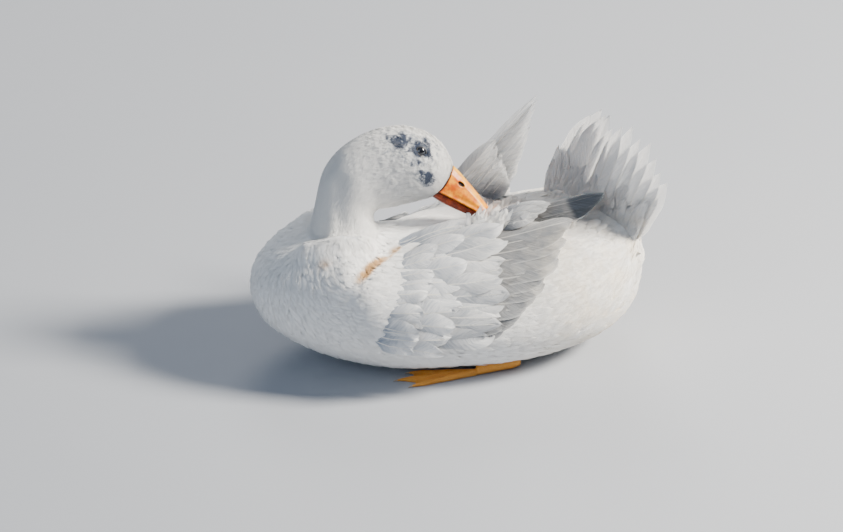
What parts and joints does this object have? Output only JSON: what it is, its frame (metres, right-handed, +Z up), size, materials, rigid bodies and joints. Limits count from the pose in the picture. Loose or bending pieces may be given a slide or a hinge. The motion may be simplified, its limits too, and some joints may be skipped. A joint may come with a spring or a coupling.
{
  "type": "domestic duck",
  "caption": "White domestic duck sitting on its belly, head turned back with the bill on its back, one wing hand raised, tail cocked.",
  "frame": {"origin": "centre of the flat on the belly, at floor level", "axes": "+Z up, -X towards the breast, +X towards the tail, the duck's left side at -Y"},
  "size_m": [0.4039, 0.2479, 0.2555],
  "materials": {
    "plumage": "soft matte feathers",
    "flight_feathers": "smooth satin vanes",
    "bill": "satin horn",
    "foot_skin": "scaly skin",
    "eye": "wet gloss"
  },
  "bodies": {
    "root": {"torso": "plumage", "neck": "plumage", "head": "plumage", "eye_left": "eye", "eye_right": "eye", "bill_upper": "bill", "bill_lower": "bill", "wing_left_arm": "plumage", "wing_left_hand": "flight_feathers", "wing_right_arm": "plumage", "wing_right_hand": "flight_feathers", "tail": "flight_feathers", "leg_left": "foot_skin", "foot_left": "foot_skin", "leg_right": "foot_skin", "foot_right": "foot_skin"}
  },
  "joints": []
}
